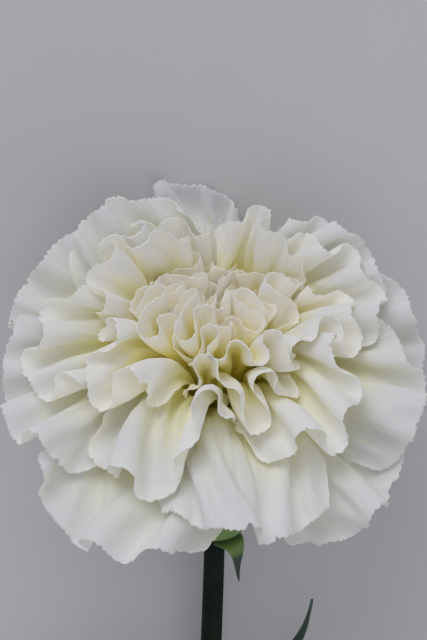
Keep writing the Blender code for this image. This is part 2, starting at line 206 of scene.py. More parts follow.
# Each bract's azimuth, half width, how suddenly it narrows, half width of its tail, and line.
BRACTS = (
    (200, 5.0 * MM, 0.8, 0, HUGGING),
    (20, 5.0 * MM, 0.8, 0, HUGGING),
    (110, 4.6 * MM, 0.8, 0, HUGGING),
    (303, 3.2 * MM, 3.0, 0.45 * MM, SPRUNG),
)
BRACT_GRID = (40, 21)
BRACT_TIP = 0.1 * MM  # half width that every bract keeps to its end
BRACT_WRAP = 0.6  # radians, the most that half a bract reaches round the calyx
BRACT_THICKNESS, BRACT_THINNING = 0.4, 0.22  # mm in its middle, and how much less at its sides
WITHERED_RISE = (0.5, 0.14)  # where the sprung bract's withered tip starts, and over how much

# The stem and its leaves.
STEM_RADIUS = 2.0 * MM
STEM_FOOT_RADIUS = 2.5 * MM
STEM_STRAIGHT = 22 * MM  # how far the stem's pull along the calyx's axis carries on behind it
STEM_BEND = (0.006, 0.060, 0.0070)
STEM_END = (0.002, 0.1505, STEM_FOOT_RADIUS + 0.1 * MM)
STEM_ROWS, STEM_COLUMNS = 260, 40
STEM_RIBS, STEM_RIB_HEIGHT, STEM_RIB_TWIST = 9, 0.035 * MM, 3
JOINT_RADIUS = 3.1 * MM
JOINTS = (0.36, 0.71)  # where the two swollen joints sit, as shares of the stem
JOINT_LENGTH = 0.009  # how far a joint's swelling reaches each way, as a share of the stem
GROOVE_DEPTH, GROOVE_PLACE, GROOVE_LENGTH = 0.22 * MM, 0.016, 0.003  # the groove after each joint
LID_RINGS = (0.02, 0.5, 0.9)  # the stem's upper end, flat: radii of its rings as shares
# The cut end, with a soft rim and a sunk pith: each ring's radius as a share, and its depth in mm.
CUT_RINGS = (
    (0.97, -0.1),
    (0.9, -0.12),
    (0.72, -0.02),
    (0.5, 0.02),
    (0.3, 0.18),
    (0.12, 0.22),
    (0.02, 0.22),
)
CUT_LOOK = (0.35, 0.8, 1, 1, 1, 1)  # how much of the pith's colour its last rings have
# Each leaf's joint, direction round the stem, half width, and bends from the joint, in metres.
LEAVES = (
    (0, 205, 2.2 * MM, ((-0.004, -0.014, -0.001), (-0.0195, -0.018, -0.001), (-0.0212, -0.038, 0.002))),
    (0, 25, 2.6 * MM, ((0.004, -0.022, 0.002), (0.030, -0.018, 0.014), (0.0487, -0.010, 0.002))),
    (1, 122, 2.9 * MM, ((-0.004, -0.026, 0.006), (-0.024, -0.040, 0.020), (-0.0535, -0.036, 0.010))),
    (1, 302, 2.9 * MM, ((0.004, -0.030, 0.0012), (0.022, -0.050, -0.0005), (0.044, -0.060, 0.0006))),
)
LEAF_GRID = (90, 25)
LEAF_GAP = 0.55 * MM  # between a leaf's foot and the joint that it clasps
LEAF_TIP, LEAF_CURVE = 0.12 * MM, 3.2  # half width at the very tip, and how suddenly it narrows
CLASP_FALL = 22  # how fast the clasping foot opens into the blade
BLADE_BEND, CLASP_BEND = 20, 52  # degrees from the keel to the edge: the blade's, and the clasp's more
KEEL_DEPTH, KEEL_WIDTH = 0.28 * MM, 5
RIPPLE_HEIGHT, RIPPLE_RATE = 0.12 * MM, 23
LEAF_THICKNESS, LEAF_THINNING, LEAF_TIP_THINNING = 0.5, 0.28, 0.4  # mm, mm less at its sides, a share

# Colours. A ramp is a row of stops: a place from 0 to 1, and the colour there.
PETAL_RAMP = (
    (0.0, (0.74, 0.66, 0.10)),
    (0.16, (0.88, 0.82, 0.24)),
    (0.36, (0.96, 0.92, 0.49)),
    (0.56, (0.985, 0.96, 0.73)),
    (0.76, (0.985, 0.972, 0.89)),
    (0.93, (0.985, 0.98, 0.96)),
)
HEART_TINT = (1.0, 0.965, 0.90)
# Painted shade: the outer rows' petals are darkened and greyed, as if less lit than the heart.
OUTER_PAINTED_SHADE = (0.88, 0.885, 0.87)
OUTER_PAINTED_SHADE_FADE = ((0.0, (1, 1, 1)), (0.45, (0, 0, 0)))  # how that painted shade fades from the outer rows inwards
CALYX_GREENS = ((0.075, 0.16, 0.026), (0.17, 0.29, 0.055), (0.27, 0.36, 0.15))
LEAF_GREENS = ((0.022, 0.050, 0.038), (0.050, 0.098, 0.066), (0.16, 0.23, 0.20))
WITHERED = (0.018, 0.040, 0.026)
# The stem's greens: its own green, made far darker as painted shade.
STEM_PAINTED_SHADE_GREENS = ((0.003, 0.007, 0.005), (0.009, 0.019, 0.014))
STEM_BLOOM = (0.05, 0.08, 0.07)
STEM_ENDS = (0.20, 0.32, 0.11)
PITH_RAMP = ((0.3, (0.34, 0.42, 0.20)), (0.7, (0.52, 0.57, 0.33)))
HEART_RAMP = ((0.3, (0.48, 0.56, 0.24)), (0.7, (0.66, 0.70, 0.40)))
FLOOR_RAMP = ((0.3, (0.585, 0.58, 0.625)), (0.7, (0.595, 0.59, 0.635)))

# The floor, the lights and the camera.
FLOOR_HALF = 3
HEAD_MIDDLE = (0, -0.115, 0.03)
# Each light's place, what it faces, its size in metres and its power in watts.
LIGHTS = {
    "window": ((0.25, -1.05, 0.50), HEAD_MIDDLE, 0.7, 4.6),
    "sky": ((-0.3, 0.1, 1.0), HEAD_MIDDLE, 1.2, 1.75),
    "fill": ((-0.3, 0.9, 0.7), (0, 0, 0), 0.9, 1.2),
}
WORLD_COLOUR, WORLD_STRENGTH = (0.98, 0.99, 1.0, 1), 0.34
DIFFUSE_BOUNCES = 12  # light passes on from petal to petal
CAMERA_ELEVATION = 70  # degrees
CAMERA_DISTANCE = 0.36
SENSOR = 36  # mm
FRAME_HEIGHT = 119.07 * MM  # how much is seen from top to bottom at the aim's distance
AIM = (-0.279 * MM, 15.814 * MM)  # how far the camera's aim is from the throat, to the right and up


def smooth(x):
    """0 below 0, 1 above 1, and a smooth step between."""
    x = np.clip(x, 0.0, 1.0)
    return x * x * (3 - 2 * x)


def rise(x, start, over):
    """A smooth step from 0 at start to 1 a distance over past it."""
    return smooth((x - start) / over)


# ---------------------------------------------------------------- the head's shape, as in the CAD model


def by_row(values, row):
    """A row's value from a list, with rows outside the list carried on in a straight line."""
    values = np.asarray(values, float)
    row = np.asarray(row, float)
    inner = np.interp(row, np.arange(len(values)), values)
    return inner + np.minimum(row, 0) * (values[1] - values[0])


def limb_angle(row, reach):
    """How far a petal leans above the horizontal, in radians, at a distance past the throat."""
    start, end = by_row(ROW_START, row), by_row(ROW_END, row)
    length = by_row(ROW_LENGTH, row)
    rising = 90 + (start - 90) * smooth(reach / BEND)
    leaning = start + (end - start) * (reach - BEND) / (length - BEND)
    return np.radians(np.where(reach < BEND, rising, leaning))


def profile(row, reach):
    """(distance from the axis, height, angle) of a petal of that row, at a distance past the throat."""
    row, reach = np.broadcast_arrays(np.asarray(row, float), np.asarray(reach, float))
    past = np.maximum(reach, 0)
    middles = (np.arange(PROFILE_STEPS) + 0.5) / PROFILE_STEPS
    angles = limb_angle(row[..., None], past[..., None] * middles)
    claw = OUTER_CLAW - ROW_STEP * row
    down = np.minimum(reach, 0)
    radius = claw * (1 + CLAW_TAPER * down / (THROAT - CLAW_FOOT))
    radius = radius + past * np.cos(angles).mean(-1)
    height = THROAT + down + past * np.sin(angles).mean(-1)
    return radius, height, limb_angle(row, past)


def nod(points):
    x, y, z = points[..., 0], points[..., 1], points[..., 2] - THROAT
    radius = np.hypot(x, y)
    share = 1 - (1 - rise(radius, *NOD_BESIDE)) * (1 - rise(z, *NOD_ABOVE))
    angle = np.radians(NOD) * rise(radius, NOD_INSIDE, NOD_OUTSIDE - NOD_INSIDE) * share
    angle = angle * (1 - (1 - NOD_FRONT) * smooth(0.5 - y / NOD_TURN))
    turned_y = y * np.cos(angle) - z * np.sin(angle)
    turned_z = y * np.sin(angle) + z * np.cos(angle)
    heart = smooth(z / HEART_HEIGHT) * smooth(1 - radius / HEART_RADIUS)
    return np.stack([x, turned_y + HEART_SHIFT * heart, turned_z + THROAT], -1)


def lay_down(points):
    above = points - np.array([0.0, 0.0, THROAT])
    laid = above[..., :1] * HEAD_RIGHT + above[..., 1:2] * HEAD_BEHIND + above[..., 2:] * HEAD_AXIS
    return laid + THROAT_PLACE


def press(points, share):
    below = np.clip(PRESS_HEIGHT - points[..., 2], 0, PRESS_REACH)
    lift = share * (1 - PRESS_KEEP) * below**2 / (2 * PRESS_REACH)
    return points + lift[..., None] * UP


def swing(radius, height, azimuth):
    peaks = [size * np.cos(count * (azimuth - math.radians(peak))) for count, size, peak in SWINGS]
    angle = np.radians(sum(peaks)) * rise(radius, *SWING_BESIDE)
    above = height - THROAT
    return (
        radius * np.cos(angle) - above * np.sin(angle),
        radius * np.sin(angle) + above * np.cos(angle) + THROAT,
    )


def head_point(row, reach, azimuth, lift=0.0):
    """A point of the upright head. lift moves it along the petal's normal."""
    radius, height, angle = profile(row, reach)
    radius = radius + lift * np.sin(angle)
    height = height - lift * np.cos(angle)
    radius, height = swing(radius, height, azimuth)
    return np.stack([radius * np.cos(azimuth), radius * np.sin(azimuth), height], -1)


def laid_point(points):
    loose = rise(np.hypot(points[..., 0], points[..., 1]), *PRESS_BESIDE)
    return press(lay_down(nod(points)), loose)


def calyx_tooth(azimuth):
    """How far up a tooth each azimuth reaches, 0 between two teeth and 1 at a tip."""
    place = np.abs((azimuth * CALYX_TEETH / (2 * np.pi)) % 1 - 0.5) * 2
    return place**TOOTH_CURVE


def round_azimuths(columns):
    return np.arange(columns) * 2 * np.pi / columns


def calyx_rim():
    """Points on the calyx's upper part, in millimetres, which the growing petals keep clear of."""
    azimuth = round_azimuths(RIM_POINTS)
    reaches = [np.full(RIM_POINTS, reach) for reach in (-6 * MM, -3 * MM, 0.0)]
    for share in (0.25, 0.5, 0.75, 1.0):
        reaches.append((CALYX_COLLAR + TOOTH_LENGTH * calyx_tooth(azimuth)) * share)
    rings = [head_point(CALYX_ROW, reach, azimuth) for reach in reaches]
    return (laid_point(np.array(rings)).reshape(-1, 3) / MM).astype(np.float32)


# ---------------------------------------------------------------- petals: start and growth


def petal_list():
    """(row, length, limb's half width, name, middle azimuth, half sector) of every petal."""
    found = []
    for row, points in enumerate(ROW_POINTS):
        points = np.radians((points[-1] - 360, *points, points[0] + 360))
        room = np.diff(points) / 2
        half_sectors = np.minimum(room[1:], room[:-1])
        for i, (middle, half_sector) in enumerate(zip(points[1:-1], half_sectors)):
            length = ROW_LENGTH[row] * PETAL_SHARE[row][i]
            limb = LIMB_HALF_WIDTH * PETAL_BREADTH[row][i]
            found.append((row, length, limb, f"petal_row{row + 1}_{i + 1}", middle, half_sector))
    return found


PETALS = petal_list()
ACROSS = np.linspace(-1, 1, NU)
ALONG = np.linspace(0, 1, NV)


def petal_start(row, limb, middle, half_sector, reach):
    """The CAD model's sheet for that petal, at these reaches (rows of NU)."""
    radius, _, _ = profile(row, reach)
    opening = smooth(reach / (OPENING * ROW_LENGTH[row]))
    half_width = CLAW_HALF_WIDTH + (limb - CLAW_HALF_WIDTH) * opening
    half_angle = np.minimum(half_width / radius, half_sector - SIDE_GAP / radius)
    azimuth = middle + half_angle * ACROSS
    wave = np.sin(WAVES * azimuth + math.radians(RUFFLE_STEP) * row)
    depth = RUFFLE_DEPTH * rise(reach, RUFFLE_START, ROW_LENGTH[row] - RUFFLE_START)
    size = UNEVEN_SIZE + UNEVEN_SIZE_STEP * row
    for _ in range(UNEVEN_WAVES):
        across, along = rng.uniform(1, 9 + row), rng.uniform(0.5, 2)
        phase = across * ACROSS + along * reach / UNEVEN_LENGTH + rng.uniform(0, 6.3)
        wave = wave + size * np.sin(phase)
    return laid_point(head_point(row, reach, azimuth, depth * wave))


def rows_of_reach(length):
    return length * (1 - ROUNDING * np.abs(ACROSS) ** ROUNDNESS) * ALONG[:, None]


def turn_petal(sheet, tilt, twist):
    """Tips a sheet about its foot and twists it about its own length, most at its margin."""
    foot = sheet[0].mean(0)
    out = sheet[-1].mean(0) - foot
    out /= np.linalg.norm(out)
    side = sheet[-1, -1] - sheet[-1, 0]
    side -= out * (side @ out)
    side /= np.linalg.norm(side)
    for axis, most in ((side, tilt), (out, twist)):
        angle = np.radians(most) * smooth(ALONG)[:, None, None]
        arm = sheet - foot
        kept = axis * (arm @ axis)[..., None]
        arm = kept + (arm - kept) * np.cos(angle) + np.cross(axis, arm) * np.sin(angle)
        sheet = foot + arm
    return sheet


def lengths(a, b):
    return np.sqrt(((a - b) ** 2).sum(-1))


def pull(p, a, b, rest, give, at_least):
    """Moves the points at slices a and b towards their rest distance. at_least only pushes apart."""
    gap = p[a] - p[b]
    now = np.sqrt(np.einsum("...k,...k", gap, gap)) + 1e-6
    miss = rest - now
    if at_least:
        np.maximum(miss, 0, out=miss)
    miss *= 0.5 * give
    miss /= now
    gap *= miss[..., None]
    p[a] += gap
    p[b] -= gap


def near_pairs(points, reach, petal, column, line):
    """Index pairs of points closer than reach, leaving out neighbours within one petal's own sheet."""
    cell = np.floor((points - points.min(0)) / reach).astype(np.int64) + 1
    span = cell.max(0) + 2
    key = (cell[:, 0] * span[1] + cell[:, 1]) * span[2] + cell[:, 2]
    order = np.argsort(key, kind="stable")
    sorted_key = key[order]
    placed = points[order]
    steps = [(x, y) for x in (-1, 0, 1) for y in (-1, 0, 1) if (x, y) >= (0, 0)]
    firsts, seconds = [], []
    index = np.arange(len(key))
    for x, y in steps:
        # cells that follow each other along z are neighbours in the sorted list
        middle = sorted_key + (x * span[1] + y) * span[2]
        high = np.searchsorted(sorted_key, middle + 1, "right")
        low = index + 1 if (x, y) == (0, 0) else np.searchsorted(sorted_key, middle - 1, "left")
        count = np.maximum(high - low, 0)
        first = np.repeat(index, count)
        start = np.repeat(low - np.concatenate(([0], np.cumsum(count)[:-1])), count)
        second = start + np.arange(len(first))
        apart = placed[first] - placed[second]
        close = np.einsum("ik,ik->i", apart, apart) < reach * reach
        firsts.append(order[first[close]])
        seconds.append(order[second[close]])
    i, j = np.concatenate(firsts), np.concatenate(seconds)
    off = np.abs(column[i] - column[j]) + np.abs(line[i] - line[j])
    own = (petal[i] == petal[j]) & (off < OWN_SPACING)
    return i[~own], j[~own]


def start_sheets():
    sheets = []
    for row, length, limb, _, middle, half_sector in PETALS:
        sheets.append(petal_start(row, limb, middle, half_sector, rows_of_reach(length)))
    return np.stack(sheets)


def pushes(points, pairs, wanted):
    """How far each point has to move so that the pairs closer than wanted part."""
    i, j = pairs
    apart = points[i] - points[j]
    gap = np.sqrt(np.einsum("ik,ik->i", apart, apart)) + 1e-6
    hit = gap < wanted
    i, j, gap = i[hit], j[hit], gap[hit]
    apart = apart[hit] * (0.5 * (wanted[hit] - gap) / gap)[:, None]
    size = len(points)
    touching = np.bincount(i, minlength=size) + np.bincount(j, minlength=size)
    moves = [np.bincount(i, apart[:, k], size) - np.bincount(j, apart[:, k], size) for k in range(3)]
    return np.stack(moves, -1) / np.maximum(touching * CROWDING, 1)[:, None]


def grow():
    """The grown sheets, as an array of petals by NV by NU by 3, in metres."""
    start = start_sheets() / MM
    aim = []
    for sheet, petal_data in zip(start, PETALS):
        tilt = TILT * rng.normal()
        aim.append(turn_petal(sheet, tilt, TWISTS.get(petal_data[3], TWIST * rng.normal())))
    start, aim = start.astype(np.float32), np.stack(aim).astype(np.float32)
    row, length, limb = (np.array([petal[k] for petal in PETALS])[:, None, None] for k in range(3))
    reach = np.stack([rows_of_reach(petal[1]) for petal in PETALS]) / MM
    length = length / MM
    fan = np.array(FAN_HALF_WIDTH)[row] * limb / LIMB_HALF_WIDTH / MM
    share = reach / length
    first_u = lengths(start[:, :, 1:], start[:, :, :-1])
    rest_v = lengths(start[:, 1:], start[:, :-1])
    claw = CLAW_HALF_WIDTH / MM
    half = claw + (fan - claw) * smooth(share / FAN_REACH) ** FAN_CURVE
    half = half * (1 + np.array(MARGIN_GROWTH)[row] * rise(share, *MARGIN_RISE))
    softness = np.array(SOFTNESS, np.float32)[row]
    full_u = np.maximum((half[:, :, 1:] + half[:, :, :-1]) / (NU - 1), first_u).astype(np.float32)
    memory = (MEMORY_FOOT * (1 - share) ** 2 + MEMORY_TIP)[..., None].astype(np.float32)
    clear = np.minimum(CLEARANCE - CLEARANCE_STEP * row, CLAW_CLEARANCE + CLEARANCE_RISE * reach)

    count = len(PETALS)
    rim = calyx_rim()
    none = np.zeros(len(rim), int)
    petal = np.concatenate((np.repeat(np.arange(count), NV * NU), none - 1))
    line = np.concatenate((np.tile(np.repeat(np.arange(NV), NU), count), none))
    column = np.concatenate((np.tile(np.arange(NU), count * NV), none))
    clearance = np.concatenate((clear.ravel(), none + RIM_CLEARANCE)).astype(np.float32)

    every, on, back = slice(None), slice(1, None), slice(None, -1)
    p, before = start.copy(), start.copy()
    for step in range(GROW_STEPS + REST_STEPS):
        rest_u = first_u + (full_u - first_u) * np.float32(smooth(step / GROW_STEPS))
        mid_v = (rest_v[:, :, 1:] + rest_v[:, :, :-1]) / 2
        rest_d = np.sqrt(mid_v**2 + rest_u[:, 1:] * rest_u[:, :-1])
        jobs = [
            ((every, every, on), (every, every, back), rest_u, STRETCH_GIVE, False),
            ((every, on), (every, back), rest_v, STRETCH_GIVE, False),
            ((every, on, on), (every, back, back), rest_d, SHEAR_GIVE, False),
            ((every, on, back), (every, back, on), rest_d, SHEAR_GIVE, False),
        ]
        for hop, least in BEND_ACROSS:
            rest = sum(rest_u[:, :, k : NU - hop + k] for k in range(hop))
            rest = rest * (1 - softness * np.float32(1 - least))
            a, b = slice(hop, None), slice(None, -hop)
            jobs.append(((every, every, a), (every, every, b), rest, BEND_GIVE, True))
        for hop, least in BEND_ALONG:
            rest = sum(rest_v[:, k : NV - hop + k] for k in range(hop)) * np.float32(least)
            a, b = slice(hop, None), slice(None, -hop)
            jobs.append(((every, a), (every, b), rest, BEND_GIVE, True))
        move = np.clip(CARRY * (p - before), -LONGEST_MOVE, LONGEST_MOVE)
        before = p.copy()
        p += move
        for a, b, rest, give, at_least in jobs + jobs[:2]:
            pull(p, a, b, rest, give, at_least)
        p += (aim - p) * memory
        points = np.concatenate((p.reshape(-1, 3), rim))
        if step % PAIR_STEPS == 0:
            pairs = near_pairs(points, CLEARANCE + PAIR_MARGIN, petal, column, line)
            wanted = np.minimum(clearance[pairs[0]], clearance[pairs[1]])
        shift = pushes(points, pairs, wanted)
        p += shift[: p.size // 3].reshape(p.shape).astype(np.float32)
        p[..., 2] = np.maximum(p[..., 2], FLOOR_GAP)
        p[:, :2] = start[:, :2]
    return p.astype(float) * MM


# ---------------------------------------------------------------- meshes


def spline_weights(count, places):
    """Cubic B-spline weights of count points at places, which count points from the first.

    The line starts and ends at the first and the last point.
    """
    places = np.clip(places, 0, count - 1)
    first = np.minimum(places.astype(int), count - 2)
    t = places - first
    parts = (
        (1 - t) ** 3 / 6,
        (3 * t**3 - 6 * t**2 + 4) / 6,
        (-3 * t**3 + 3 * t**2 + 3 * t + 1) / 6,
        t**3 / 6,
    )
    padded = np.zeros((len(places), count + 2))
    rows = np.arange(len(places))
    for k, part in enumerate(parts):
        padded[rows, first + k] += part
    weights = padded[:, 1:-1].copy()
    weights[:, 0] += 2 * padded[:, 0]
    weights[:, 1] -= padded[:, 0]
    weights[:, -1] += 2 * padded[:, -1]
    weights[:, -2] -= padded[:, -1]
    return weights


def face_list(rows, columns, wrap=False):
    """Quads of a grid of rows by columns, as indices. wrap joins the last column to the first."""
    spans = columns if wrap else columns - 1
    j, i = np.meshgrid(np.arange(rows - 1), np.arange(spans), indexing="ij")
    k = (i + 1) % columns
    low, high = j * columns, (j + 1) * columns
    return np.stack([low + i, low + k, high + k, high + i], -1).reshape(-1, 4)


def border(rows, columns):
    """Indices round a grid's edge, in order."""
    bottom = np.arange(columns)
    right = np.arange(1, rows) * columns + columns - 1
    top = (rows - 1) * columns + np.arange(columns - 2, -1, -1)
    left = np.arange(rows - 2, 0, -1) * columns
    return np.concatenate((bottom, right, top, left))


def new_mesh(name, points, quads):
    mesh = bpy.data.meshes.new(name)
    mesh.vertices.add(len(points))
    mesh.vertices.foreach_set("co", np.asarray(points, np.float32).ravel())
    mesh.loops.add(quads.size)
    mesh.loops.foreach_set("vertex_index", quads.astype(np.int32).ravel())
    mesh.polygons.add(len(quads))
    mesh.polygons.foreach_set("loop_start", np.arange(len(quads), dtype=np.int32) * 4)
    mesh.polygons.foreach_set("loop_total", np.full(len(quads), 4, np.int32))
    mesh.update(calc_edges=True)
    mesh.shade_smooth()
    return mesh


def set_attribute(mesh, name, values):
    attribute = mesh.attributes.new(name, "FLOAT", "POINT")
    attribute.data.foreach_set("value", np.ravel(values).astype(np.float32))


def normals_of(grid, wrap=False):
    along = np.gradient(grid, axis=0)
    if wrap:
        across = np.roll(grid, -1, 1) - np.roll(grid, 1, 1)
    else:
        across = np.gradient(grid, axis=1)
    normal = np.cross(across, along)
    return normal / (np.linalg.norm(normal, axis=-1, keepdims=True) + 1e-12)


def sheet_solid(name, grid, thickness, values, wrap=False):
    """A closed sheet round the grid. values are floats per grid point, by attribute name."""
    rows, columns = grid.shape[:2]
    offset = normals_of(grid, wrap) * (np.asarray(thickness) / 2)[..., None]
    points = np.concatenate(((grid + offset).reshape(-1, 3), (grid - offset).reshape(-1, 3)))
    quads = face_list(rows, columns, wrap)
    far = rows * columns
    if wrap:
        low = np.arange(columns)
        high = (rows - 1) * columns + low
        sides = [
            np.stack([np.roll(low, -1), low, low + far, np.roll(low, -1) + far], -1),
            np.stack([high, np.roll(high, -1), np.roll(high, -1) + far, high + far], -1),
        ]
    else:
        edge = border(rows, columns)
        after = np.roll(edge, -1)
        sides = [np.stack([after, edge, edge + far, after + far], -1)]
    mesh = new_mesh(name, points, np.concatenate([quads, quads[:, ::-1] + far, *sides]))
    for key, value in values.items():
        set_attribute(mesh, key, np.concatenate((np.ravel(value), np.ravel(value))))
    return mesh


def add_piece(name, mesh, look, slot, *nodes):
    made = bpy.data.objects.new(name, mesh)
    bpy.context.scene.collection.objects.link(made)
    made.data.materials.append(look)
    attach(made, "root")
    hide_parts(*nodes)


# ---------------------------------------------------------------- petals: the finished sheets


def teeth(run):
    """How far the margin is cut back, in mm, at each distance along it: uneven pointed teeth."""
    spots = [0.0]
    while spots[-1] < run[-1]:
        spots.append(spots[-1] + TOOTH_PITCH * rng.uniform(*PITCH_RANGE))
    spots = np.array(spots + [spots[-1] + TOOTH_PITCH])
    tips = rng.uniform(*TIP_RANGE, len(spots)) * TOOTH_DEPTH
    notches = rng.uniform(*NOTCH_RANGE, len(spots)) * TOOTH_DEPTH
    deep = rng.random(len(spots)) < DEEP_TEETH
    notches = np.where(deep, notches * DEEP_TOOTH, notches)
    middles = spots[:-1] + np.diff(spots) * rng.uniform(*TIP_PLACES, len(spots) - 1)
    places = np.concatenate((spots, middles))
    depths = np.concatenate((notches, tips[:-1]))
    order = np.argsort(places)
    return np.interp(run, places[order], depths[order])


def petal_mesh(petal_data, sheet):
    """The petal's finished mesh: its claw and its grown sheet, refined, toothed, ribbed and thickened."""
    row, full, _, name, middle, half_sector = petal_data
    claw_reach = np.array(CLAW_REACHES)[:, None] * MM + np.zeros((1, NU))
    half_angle = np.minimum(CLAW_HALF_WIDTH / profile(row, claw_reach)[0], half_sector)
    claw = laid_point(head_point(row, claw_reach, middle + half_angle * ACROSS))
    grid = np.concatenate((claw, sheet))
    margin = lengths(sheet[-1, 1:], sheet[-1, :-1]).sum() / MM
    columns = int(np.clip(round(margin / COLUMN_PITCH), *COLUMN_LIMITS))
    across = np.linspace(0, NU - 1, columns)
    wide = spline_weights(NU, across) @ grid.transpose(1, 0, 2).reshape(NU, -1)
    wide = wide.reshape(columns, len(grid), 3).transpose(1, 0, 2)

    side = np.abs(across / (NU - 1) * 2 - 1)
    run = np.concatenate(([0], np.cumsum(lengths(wide[-1, 1:], wide[-1, :-1])))) / MM
    cut = teeth(run) / (full / MM) + CORNER_CUT * rise(side, *CORNER_RISE) ** CORNER_CURVE
    inside = np.linspace(0, TOOTH_ZONE, FINE_ROWS - TOOTH_ROWS)
    shares = np.concatenate((inside, np.linspace(TOOTH_ZONE, 1, TOOTH_ROWS + 1)[1:]))[:, None]
    drawn_in = TOOTH_ZONE + (shares - TOOTH_ZONE) * (TOOTH_ZONE_DEPTH - cut) / TOOTH_ZONE_DEPTH
    ends = np.where(shares > TOOTH_ZONE, drawn_in, shares)

    claws = len(CLAW_REACHES)
    places = claws + ends * (NV - 1)
    fine = np.empty((claws * 2 + len(shares), columns, 3))
    low_weights = spline_weights(len(grid), np.arange(claws * 2) / 2)
    fine[: claws * 2] = np.einsum("rg,gck->rck", low_weights, wide)
    for c in range(columns):
        fine[claws * 2 :, c] = spline_weights(len(grid), places[:, c]) @ wide[:, c]
    share = np.concatenate((np.zeros((claws * 2, columns)), ends))
    across_grid = np.broadcast_to(across / (NU - 1), share.shape)
    pleats = np.zeros_like(share)
    for count, size in PLEATS:
        phase = 2 * np.pi * (count * across_grid + rng.uniform(0, 1))
        pleats += size * np.sin(phase + PLEAT_BEND * np.sin(PLEAT_BENDS * share + rng.uniform(0, 6)))
    fine += normals_of(fine) * (pleats * rise(share, *PLEAT_RISE) * MM)[..., None]
    thinning = (MARGIN_THICKNESS - PETAL_THICKNESS) * rise(share, *THINNING_RISE)
    values = {
        "reach": share,
        "white": share - CREAM_STEP * row * (1 - rise(share, *CREAM_EDGE)),
        "inner": np.full_like(share, row / (len(ROW_POINTS) - 1)),
        "across": across_grid,
        "tone": np.full_like(share, rng.uniform(0, 1)),
    }
    return sheet_solid(name, fine, PETAL_THICKNESS + thinning, values)


# ---------------------------------------------------------------- green parts


def bezier(points, share):
    a, b, c, d = (np.array(point, float) for point in points)
    t = np.asarray(share, float)[..., None]
    return a * (1 - t) ** 3 + b * 3 * t * (1 - t) ** 2 + c * 3 * t * t * (1 - t) + d * t**3


def unit(vectors):
    return vectors / np.linalg.norm(vectors, axis=-1, keepdims=True)


def stem_line(share):
    """The stem's middle line, from the calyx's foot to the cut."""
    top = lay_down(np.array([0.0, 0.0, 0.0]))
    return bezier((top, top - STEM_STRAIGHT * HEAD_AXIS, STEM_BEND, STEM_END), share)


def tube_points(middle, radius):
    """Rings round the line middle. radius is an array of rings by columns."""
    run = unit(np.gradient(middle, axis=0))
    side = unit(np.cross(run, UP))
    up = np.cross(side, run)
    angle = round_azimuths(radius.shape[1])
    out = np.cos(angle)[None, :, None] * side[:, None] + np.sin(angle)[None, :, None] * up[:, None]
    return middle[:, None] + out * radius[..., None]


def stem_mesh():
    shares = np.linspace(0, 1, STEM_ROWS)
    radius = STEM_RADIUS + (STEM_FOOT_RADIUS - STEM_RADIUS) * shares
    for joint in JOINTS:
        swelling = np.exp(-(((shares - joint) / JOINT_LENGTH) ** 2))
        radius = radius + (JOINT_RADIUS - radius) * swelling
        radius = radius - GROOVE_DEPTH * np.exp(-(((shares - joint - GROOVE_PLACE) / GROOVE_LENGTH) ** 2))
    angle = round_azimuths(STEM_COLUMNS)
    ribs = STEM_RIB_HEIGHT * np.cos(STEM_RIBS * angle[None, :] + STEM_RIB_TWIST * shares[:, None])
    body = tube_points(stem_line(shares), radius[:, None] + ribs)

    first, end = body[0], body[-1]
    lid, centre = first.mean(0), end.mean(0)
    run = unit(stem_line(1.0) - stem_line(0.995))
    lids = [(lid + (first - lid) * keep)[None] for keep in LID_RINGS]
    cuts = [(centre + (end - centre) * keep - run * sink * MM)[None] for keep, sink in CUT_RINGS]
    grid = np.concatenate((*lids, body, *cuts))
    rows = len(grid)
    # the two tiny end rings are closed by quads between opposite sides
    fills = []
    for base, flip in ((0, False), ((rows - 1) * STEM_COLUMNS, True)):
        for k in range(STEM_COLUMNS // 2 - 1):
            across = base + STEM_COLUMNS - 2 - k
            quad = [base + k, base + k + 1, across, across + 1]
            fills.append(quad if flip else quad[::-1])
    quads = np.concatenate((face_list(rows, STEM_COLUMNS, wrap=True), np.array(fills)))
    mesh = new_mesh("stem", grid.reshape(-1, 3), quads)
    cut = np.zeros((rows, STEM_COLUMNS))
    cut[-len(CUT_LOOK) :] = np.array(CUT_LOOK)[:, None]
    along = np.concatenate((np.zeros(len(lids)), shares, np.ones(len(cuts))))
    set_attribute(mesh, "cut", cut)
    set_attribute(mesh, "along", np.repeat(along, STEM_COLUMNS))
    return mesh


